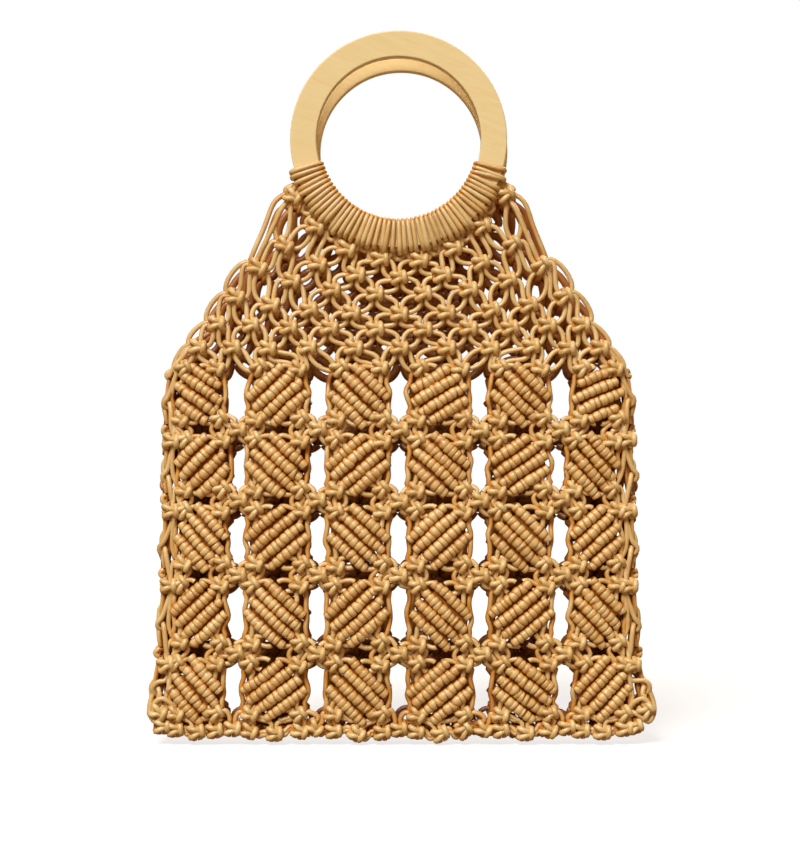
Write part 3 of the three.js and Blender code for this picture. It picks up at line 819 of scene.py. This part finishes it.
def chain_loops(upper, lower):
    (upper_x, upper_z), (lower_x, lower_z) = upper, lower
    x = (upper_x + lower_x) / 2 + HOOK_ASIDE + stray(0, HOOK_STRAY_X)
    z = (upper_z + lower_z) / 2 + stray(0, HOOK_STRAY_Z)
    hung = [
        (upper_x - 1.6, upper_z - 5, -0.5), (upper_x + 0.2, upper_z - 11, -0.2), (x + 2.6, z + 5, 0.2),
        (x + 6.2, z + 0.5, -0.6), (x + 4.4, z - 3.8, -2.4), (x + 0.8, z - 2, -4.0), (x + 0.2, z + 5, -4.5),
        (upper_x + 1.0, upper_z - 5, -4.0),
    ]
    raised = [
        (lower_x - 1.6, lower_z + 5, -0.5), (lower_x - 0.4, lower_z + 11, 0.4), (x + 0.8, z - 5.5, 0.8),
        (x + 2.2, z + 0.8, -1.4), (x + 3.4, z - 3.5, -5.0), (lower_x + 3.6, lower_z + 11, -4.6),
        (lower_x + 1.2, lower_z + 5, -3.6),
    ]
    return np.concatenate([run_through([loop], 6, LOOP_POINTS) for loop in (hung, raised)])


def edge_cords(yoke_end, hubs, side, corner_out):
    turned = lambda places: np.array(places) * (WAYS[side], 1, 1)
    start = yoke_end.port(f"{side}_out")[0]
    runs = [run_through([[start, *turned(SHOULDER)]], 8, LOOP_POINTS)]
    corner_knot = (CORNER_KNOT[0] + corner_out, CORNER_KNOT[1])
    stops = [SHOULDER_KNOT, *[(abs(hub.centre[0]), hub.centre[1]) for hub in hubs], corner_knot]
    for upper, lower in zip(stops, stops[1:]):
        runs.append(turned(chain_loops(upper, lower)))
    for loop in CORNER_LOOPS:
        runs.append(run_through([turned(np.array(loop) + (corner_out, 0, 0))], 8, LOOP_POINTS))
    return np.concatenate(runs)


# Panels. The back's leaf cords stand clear of the openings, where the front's reach into them.
INTO_OPENING = {"front": 0.8, "back": -2.0}
BAR_INSET = {"front": 1.8, "back": 2.8}
# Painted shade of inner faces: how bright the panel's cords are inside, and the cords round the openings.
PANEL_INSIDE, RIM_INSIDE = 0.22, 0.6
HUB_TIGHT, FOOT_TIGHT = 0.6, 0.4
FAN_FULLER, HUB_FULLER, NET_FULLER, MIDDLE_REACH = 1.8, 1.4, 1.75, 110.0
EDGE_LIFT = -1.6


# The leaves and knots of one panel, which its pieces share.
class Panel:
    def __init__(self, label):
        self.label = label
        self.place = PLACES[label]
        self.sides = CORD_SIDES[label]
        self.fuller = BACK_FULLER if label == "back" else 0.0
        self.leaves = {(r, c): Leaf(r, c, BAR_INSET[label]) for r in range(ROWS) for c in range(COLUMNS)}
        self.corners = corner_knots(self.leaves)
        self.yoke = yoke_knots()
        self.hubs = hub_knots()

    # The corner knots at the top or foot of a row of leaves, from left to right.
    def corner_row(self, r, tip):
        return [self.corners[r, c, tip, side] for c in range(COLUMNS) for side in WAYS]


def make_leaf_beads(panel):
    beads = Weave(BEAD_SIDES[panel.label], over_panel, PANEL_INSIDE)
    for leaf in panel.leaves.values():
        add_leaf(beads, leaf, panel.place, panel.fuller)
    beads.make(f"leaf_beads_{panel.label}", f"leaf_panel_{panel.label}")


def make_leaf_knots(panel):
    knots = Weave(panel.sides, over_panel, PANEL_INSIDE)
    add_knots(knots, [*panel.corners.values(), *panel.hubs.values()], panel.place, panel.fuller)
    if panel.label == "back":
        add_knots(knots, tip_knots(panel.leaves), panel.place, panel.fuller)
    knots.make(f"leaf_knots_{panel.label}", f"leaf_panel_{panel.label}")


# The cords from a leaf's foot to the top of the leaf below it and to the hub knot beside them.
def tie_to_next(links, panel, r, c, side):
    foot, below = panel.corners[r, c, "foot", side], panel.corners[r + 1, c, "top", side]
    hub = panel.hubs[r + 1, c + 1 if side == "right" else c]
    inner = OTHER[side]
    links.tie(foot, f"{inner}_foot", below, f"{inner}_top", pull=0.9)
    links.tie(foot, f"{inner}_out", below, f"{inner}_in", pull=1.3)
    join_down(links, foot, hub, HUB_TIGHT)
    join_down(links, hub, below, HUB_TIGHT)
    if (c, side) in ((0, "left"), (COLUMNS - 1, "right")):
        next_foot = panel.corners[r + 1, c, "foot", side]
        links.tie(hub, f"{inner}_foot", next_foot, f"{side}_in", pull=1.0, straight=0.3)


def make_leaf_cords(panel):
    fans, links, side_runs = Links(), Links(), []
    for (r, c, tip, side), knot in panel.corners.items():
        leaf = panel.leaves[r, c]
        fan_out(fans, knot, leaf, tip, side)
        if tip == "top":
            foot = panel.corners[r, c, "foot", side]
            side_runs.append(side_cord(leaf, side, knot, foot, INTO_OPENING[panel.label]))
        elif r + 1 < ROWS:
            tie_to_next(links, panel, r, c, side)
    place, fuller = panel.place, panel.fuller
    cords = Weave(panel.sides, over_panel, PANEL_INSIDE)
    cords.add(place(fans.strands()), SLACK_RADIUS + fuller * FAN_FULLER, lift=LINK_LIFT)
    hub_radius = SLACK_RADIUS + fuller * HUB_FULLER
    cords.add(place(links.strands()), hub_radius, lift=LINK_LIFT, inside_share=RIM_INSIDE)
    cords.add(place(run_through(side_runs, 4, 14)), SLACK_RADIUS + fuller, inside_share=RIM_INSIDE)
    for (side, way), b in zip(WAYS.items(), (0, COLUMNS)):
        edge_hubs = [panel.hubs[r, b] for r in range(1, ROWS)]
        runs = edge_cords(panel.yoke[-1][ENDS[side]], edge_hubs, side, CORNER_OUT[panel.label, way])
        cords.add(place(runs), SLACK_RADIUS, lift=EDGE_LIFT)
    cords.make(f"leaf_cords_{panel.label}", f"leaf_panel_{panel.label}")


# One row of the net tied to the next. Over a shorter row, the end knots hang.
def tie_rows(links, upper, lower, straight):
    shrinks = len(lower) < len(upper)
    for i, knot in enumerate(upper):
        for j in ((i - 1, i) if shrinks else (i, i + 1)):
            if not 0 <= j < len(lower):
                continue
            if shrinks and i in (0, len(upper) - 1):
                hang_down(links, knot, lower[j], "left" if i == 0 else "right")
            else:
                join_down(links, knot, lower[j], straight)


def make_net(panel):
    net, links = Weave(panel.sides, over_panel), Links()
    add_knots(net, [knot for row in panel.yoke for knot in row], panel.place, panel.fuller)
    rows = [*panel.yoke, panel.corner_row(0, "top")]
    for upper, lower in zip(rows, rows[1:]):
        tie_rows(links, upper, lower, FOOT_TIGHT if lower is rows[-1] else 0.0)
    for side, end in ENDS.items():
        for upper, lower in zip(rows[2:], rows[3:]):
            links.tie(upper[end], f"{side}_in", lower[end], f"{side}_in", pull=0.85, straight=0.25)
    for knot in rows[0]:
        from_ring(links, knot)
    for knot, after in zip(rows[0], rows[0][1:]):
        hang_loop(links, knot, after)
    strands = links.strands()
    middle = np.clip(1 - np.abs(strands[..., 0]) / MIDDLE_REACH, 0, 1)
    net.add(panel.place(strands), SLACK_RADIUS + panel.fuller * (NET_FULLER + middle), lift=NET_LIFT)
    net.make(f"yoke_net_{panel.label}", f"net_yoke_{panel.label}")


def make_shoulders(panel):
    for side, end in ENDS.items():
        name = f"{panel.label}_{side}"
        runs = shoulder_floats(panel.yoke[0][end], panel.yoke[2][end], side)
        floats = Weave(panel.sides, over_panel)
        floats.add(panel.place(run_through(runs, 6, 22)), SLACK_RADIUS)
        floats.make(f"shoulder_cords_{name}", f"shoulder_cord_{name}")


PANELS = []
for label in PLACES:
    panel = Panel(label)
    make_leaf_beads(panel)
    make_leaf_knots(panel)
    make_leaf_cords(panel)
    make_net(panel)
    make_shoulders(panel)
    PANELS.append(panel)

# Rings and the hitches that hold the cords on them.
RING_EDGE, EDGE_POINTS, EDGE_LEAD, RING_STEPS = 0.8, 5, 0.5, 144
WRAP_STRANDS, WRAP_HALF_ARC = 47, math.radians(74.5)
WRAP_POINTS, WRAP_SQUARENESS, WRAP_LIFT = 26, 4.0, -0.5
WRAP_THIN, WRAP_SWELL, WRAP_FAT_STRAY = 1.5, 0.42, 0.05
WRAP_HANG, WRAP_HANG_MOST, WRAP_WANDER, WRAP_OUT_STRAY = (0.6, 0.8), 2.0, 0.9, 0.12


def on_ring(label, angle, radius, out):
    x, z = radius * np.sin(angle), RING_CENTRE_Z - radius * np.cos(angle)
    points = np.stack([x, -RING_SPACING / 2 - out, z], -1)
    return points if label == "front" else points * (-1, -1, 1) + (BACK_SHIFT, 0, -BACK_DROP)


# The ring's section, as radius and out from its middle plane: flat faces and narrow rounded edges.
def ring_section():
    points = []
    for quarter, (right, up) in enumerate(((1, 1), (-1, 1), (-1, -1), (1, -1))):
        corner = np.array([right * (RING_HALF_WIDTH - RING_EDGE), up * (RING_THICK / 2 - RING_EDGE)])
        angles = math.pi / 2 * quarter + np.linspace(0, math.pi / 2, EDGE_POINTS)
        arc = corner + RING_EDGE * np.stack([np.cos(angles), np.sin(angles)], -1)
        before = np.array([math.sin(angles[0]), -math.cos(angles[0])])
        after = np.array([-math.sin(angles[-1]), math.cos(angles[-1])])
        points += [arc[0] + before * EDGE_LEAD, *arc, arc[-1] + after * EDGE_LEAD]
    across, out = np.array(points).T
    return RING_MIDDLE + across, out


# The rounder path of a hitch about the ring's section.
def wrap_section():
    phi = 2 * np.pi * np.arange(WRAP_POINTS) / WRAP_POINTS
    rounded = lambda value: np.sign(value) * np.abs(value) ** (2 / WRAP_SQUARENESS)
    radius = RING_MIDDLE + rounded(np.cos(phi)) * (RING_HALF_WIDTH + WRAP_OFF)
    return radius, rounded(np.sin(phi)) * (RING_THICK / 2 + WRAP_OFF)


def make_ring(label):
    radius, out = ring_section()
    around = len(out)
    angle = 2 * np.pi * np.arange(RING_STEPS) / RING_STEPS
    shell = on_ring(label, angle[:, None], radius, np.broadcast_to(out, (RING_STEPS, around)))
    i, k = np.meshgrid(np.arange(RING_STEPS), np.arange(around), indexing="ij")
    quads = np.stack([(i + p) % RING_STEPS * around + (k + q) % around for p, q in FACE_CORNERS], -1)
    ring = add_mesh(f"wooden_ring_{label}", shell, quads, WOOD)
    dress(ring, f"ring_handle_{label}")
    return ring


def make_hitches(label):
    hitches = Weave(CORD_SIDES[label], over_ring)
    section_radius, out = wrap_section()
    reach = (section_radius - RING_INNER) / (RING_OUTER - RING_INNER)
    paths, radii = [], []
    for i in range(WRAP_STRANDS):
        angle = ((i + 0.5) / WRAP_STRANDS * 2 - 1) * WRAP_HALF_ARC
        hang = np.clip(stray(*WRAP_HANG), 0, WRAP_HANG_MOST)
        radius = section_radius + np.maximum(reach, 0) ** 3 * hang
        wander = stray(0, WRAP_WANDER) * reach / RING_OUTER
        paths.append(on_ring(label, angle + wander, radius, out + stray(0, WRAP_OUT_STRAY)))
        radii.append((WRAP_THIN + WRAP_SWELL * np.clip(reach, 0, 1)) * stray(1, WRAP_FAT_STRAY))
    hitches.add(np.array(paths), np.array(radii), closed=True, lift=WRAP_LIFT)
    hitches.make(f"ring_hitches_{label}", f"ring_wrap_{label}")


RINGS = {}
for label in PLACES:
    RINGS[label] = make_ring(label)
    make_hitches(label)

# Lacing that closes the two sides, seen from the side: (across, z, out).
LACING_KNOTS_Z = [-219.0, *LEAF_ROW_EDGES[1:-1], -456.0]
LACING_KNOT_SIZE, LACING_KNOT_OUT = 0.78, -1.5
LACING_ASIDE, LACING_STRAY = (-3.6, 3.6), 1.2


def on_side(way):
    def place(points):
        across, z, out = np.moveaxis(points, -1, 0)
        x = np.interp(-z, -LACING_Z, LACING_X)
        return np.stack([way * (x + out), across * way, z], -1)

    return place


def lacing_loops(upper_z, lower_z, aside):
    middle = (upper_z + lower_z) / 2 + stray(0, LACING_STRAY)
    hung = [
        (-1.2, upper_z - 4, -1), (-2.4, upper_z - 12, -0.4), (-2.8, middle + 2, 0.2),
        (0, middle - 3.2, 0.8), (2.8, middle + 2, 0.2), (2.4, upper_z - 12, -0.4), (1.2, upper_z - 4, -1),
    ]
    raised = [
        (-1.8, lower_z + 4, -1), (-1.2, lower_z + 12, -2), (0, middle - 1, -2.8), (0.4, middle + 3.6, 0),
        (0, middle - 1, 2.6), (1.2, lower_z + 12, 1.2), (1.8, lower_z + 4, -1),
    ]
    return [np.array(loop) + (aside, 0, 0) for loop in (hung, raised)]


def make_lacing(side):
    lacing, place = Weave(CORD_SIDES["front"], over_side), on_side(WAYS[side])
    knots = [shaken_knot(0, z, 0, LACING_KNOT_SIZE, LACING_KNOT_OUT) for z in LACING_KNOTS_Z]
    add_knots(lacing, knots, place)
    loops = []
    for upper, lower in zip(knots, knots[1:]):
        for aside in LACING_ASIDE:
            loops += lacing_loops(upper.centre[1], lower.centre[1], aside)
    lacing.add(place(run_through(loops, 6, 24)), SLACK_RADIUS)
    lacing.make(f"lacing_{side}", f"side_lacing_{side}")


for side in WAYS:
    make_lacing(side)

# Hem: a row of small knots that hangs lowest in the middle, each tied to the next, a knot at each bottom
# corner, and rungs across the bottom.
HEM_KNOT_SIZE, HEM_TILT, HEM_SAG, HEM_HALF = 0.98, 16.0, 2.0, 165.0
HEM_EDGE, HEM_CORNER, HEM_LEAF = (-464.4, -1.0), (-466.0, -0.6), (-467.8, 0.6)  # height, out
CORNER_KNOT_TILT, CORNER_KNOT_OUT = 30, 0.5
RUNGS, RUNG_HALF, RUNG_SLANT, RUNG_STRAY = 58, 150, 1.2, 0.3
RUNG_PATH = [
    (-1, -6.4, -463.0), (-0.6, -4.5, -465.0), (0, 0, -465.6), (0.6, 4.5, -465.0), (1, 6.4, -463.0),
]


# Four knots for each leaf, after the first: under its two corner knots, between them, and at the next edge.
def hem_row(feet):
    places = [(edge_x(0, HEM_EDGE[0]), HEM_EDGE)]
    for c, (left, right) in enumerate(zip(feet[::2], feet[1::2])):
        places.append((left.centre[0], HEM_CORNER))
        places.append(((left.centre[0] + right.centre[0]) / 2, HEM_LEAF))
        places.append((right.centre[0], HEM_CORNER))
        places.append((edge_x(c + 1, HEM_EDGE[0]), HEM_EDGE))
    knots = []
    for x, (z, out) in places:
        sag = HEM_SAG * (1 - (x / HEM_HALF) ** 2)
        knots.append(shaken_knot(x, z - sag, stray(0, HEM_TILT), HEM_KNOT_SIZE, out))
    return knots


def tie_hem(links, feet, knots):
    for knot, after in zip(knots, knots[1:]):
        links.tie(knot, "right_out", after, "left_out", pull=1.5)
        links.tie(knot, "right_in", after, "left_in", pull=1.2)
    for i, foot in enumerate(feet):
        below = 4 * (i // 2) + 1 + 2 * (i % 2)
        for side in WAYS:
            links.tie(foot, f"{side}_foot", knots[below], f"{side}_top", pull=0.9)
        links.tie(foot, "left_out", knots[below - 1], "right_top", pull=1.1)
        links.tie(foot, "right_out", knots[below + 1], "left_top", pull=1.1)


def rung(x):
    slant = stray(0, RUNG_SLANT)
    path = np.array([(x + slant * share, y, z) for share, y, z in RUNG_PATH])
    path[len(path) // 2, 2] += stray(0, RUNG_STRAY)
    return path


def make_hem():
    hem = Weave(CORD_SIDES["front"], over_panel)
    for panel in PANELS:
        feet = panel.corner_row(ROWS - 1, "foot")
        knots, links = hem_row(feet), Links()
        tie_hem(links, feet, knots)
        for way in WAYS.values():
            x = way * (CORNER_KNOT[0] + CORNER_OUT[panel.label, way])
            knots.append(shaken_knot(x, CORNER_KNOT[1], way * CORNER_KNOT_TILT, out=CORNER_KNOT_OUT))
        add_knots(hem, knots, panel.place)
        hem.add(panel.place(links.strands()), SLACK_RADIUS, lift=LINK_LIFT)
    rungs = [rung(x) for x in np.linspace(-RUNG_HALF, RUNG_HALF, RUNGS)]
    hem.add(run_through(rungs, 5, 12), SLACK_RADIUS)
    hem.make("hem_knots", "bottom_hem")


make_hem()

# Floor and light
FLOOR_Z, FLOOR_HALF, BACKDROP_RADIUS = -477.5, 6000.0, 7000.0
FLOOR_COLOUR, FLOOR_ROUGHNESS, FLOOR_GLOW = (0.34, 0.34, 0.34, 1), 0.7, 0.76
ROOM_COLOUR, ROOM_STRENGTH = (1, 0.67, 0.37, 1), 0.27
WHITE = (1, 1, 1, 1)


def make_floor():
    material, _, shader = node_material("pale_floor")
    set_values(shader, {"Base Color": FLOOR_COLOUR, "Roughness": FLOOR_ROUGHNESS})
    set_values(shader, {"Emission Color": WHITE, "Emission Strength": FLOOR_GLOW})
    corners = [(x * FLOOR_HALF, y * FLOOR_HALF, FLOOR_Z) for x, y in ((-1, -1), (1, -1), (1, 1), (-1, 1))]
    floor = add_mesh("floor", np.array(corners), np.arange(4), material)
    floor.visible_diffuse = False
    floor.visible_glossy = False


# A white backdrop all round that only the camera sees.
def make_backdrop():
    material, tree, _ = node_material("white_backdrop")
    tree.nodes.clear()
    glow = add_node(tree, "ShaderNodeEmission", Color=WHITE, Strength=1.0)
    output = add_node(tree, "ShaderNodeOutputMaterial")
    tree.links.new(glow.outputs[0], output.inputs["Surface"])
    bpy.ops.mesh.primitive_uv_sphere_add(segments=64, ring_count=32, radius=BACKDROP_RADIUS * MM)
    backdrop = bpy.context.object
    backdrop.name = "backdrop"
    backdrop.data.materials.append(material)
    for ray in ("diffuse", "glossy", "transmission", "shadow", "volume_scatter"):
        setattr(backdrop, f"visible_{ray}", False)


def make_room():
    world = bpy.data.worlds.new("pale_room")
    world.use_nodes = True
    set_values(world.node_tree.nodes["Background"], {"Color": ROOM_COLOUR, "Strength": ROOM_STRENGTH})
    bpy.context.scene.world = world


# A light that reaches the given pieces alone, or everything if none is given.
def add_sun(name, azimuth, elevation, strength, softness, pieces=()):
    data = bpy.data.lights.new(name, "SUN")
    data.energy = strength
    data.angle = math.radians(softness)
    light = bpy.data.objects.new(name, data)
    light.rotation_euler = (math.radians(90 - elevation), 0, math.radians(azimuth))
    bpy.context.scene.collection.objects.link(light)
    if pieces:
        lit = bpy.data.collections.new(f"lit_by_{name}")
        for piece in pieces:
            lit.objects.link(piece)
        light.light_linking.receiver_collection = lit


make_floor()
make_backdrop()
make_room()
add_sun("soft_key", azimuth=-20, elevation=46, strength=3.15, softness=24)
add_sun("ring_fill", azimuth=-3, elevation=-8, strength=2.7, softness=12, pieces=[RINGS["back"]])
rings = [*RINGS.values()]
add_sun("rim_fill", azimuth=0, elevation=-70, strength=1.3, softness=30, pieces=rings)
add_sun("back_fill", azimuth=160, elevation=35, strength=2.0, softness=40, pieces=CORD_PIECES + rings)
bpy.context.scene.view_settings.view_transform = "Standard"

# Camera at the photograph's viewing angle, with the front ring's centre at RING_PIXEL.
FRAME_WIDTH, FRAME_HEIGHT, PIXEL = 800, 853, 0.6932
RING_PIXEL = (398.6, 139.9)
CAMERA_DISTANCE, SENSOR_WIDTH = 1400.0, 36.0

camera_data = bpy.data.cameras.new("camera")
camera = bpy.data.objects.new("camera", camera_data)
bpy.context.scene.collection.objects.link(camera)
bpy.context.scene.camera = camera
camera_data.sensor_width = SENSOR_WIDTH
camera_data.lens = SENSOR_WIDTH * CAMERA_DISTANCE / (FRAME_HEIGHT * PIXEL)
camera_x = (FRAME_WIDTH / 2 - RING_PIXEL[0]) * PIXEL
camera_z = RING_CENTRE_Z - (FRAME_HEIGHT / 2 - RING_PIXEL[1]) * PIXEL
camera.location = (camera_x * MM, -(CAMERA_DISTANCE + RING_SPACING / 2) * MM, camera_z * MM)
camera.rotation_euler = (math.pi / 2, 0, 0)
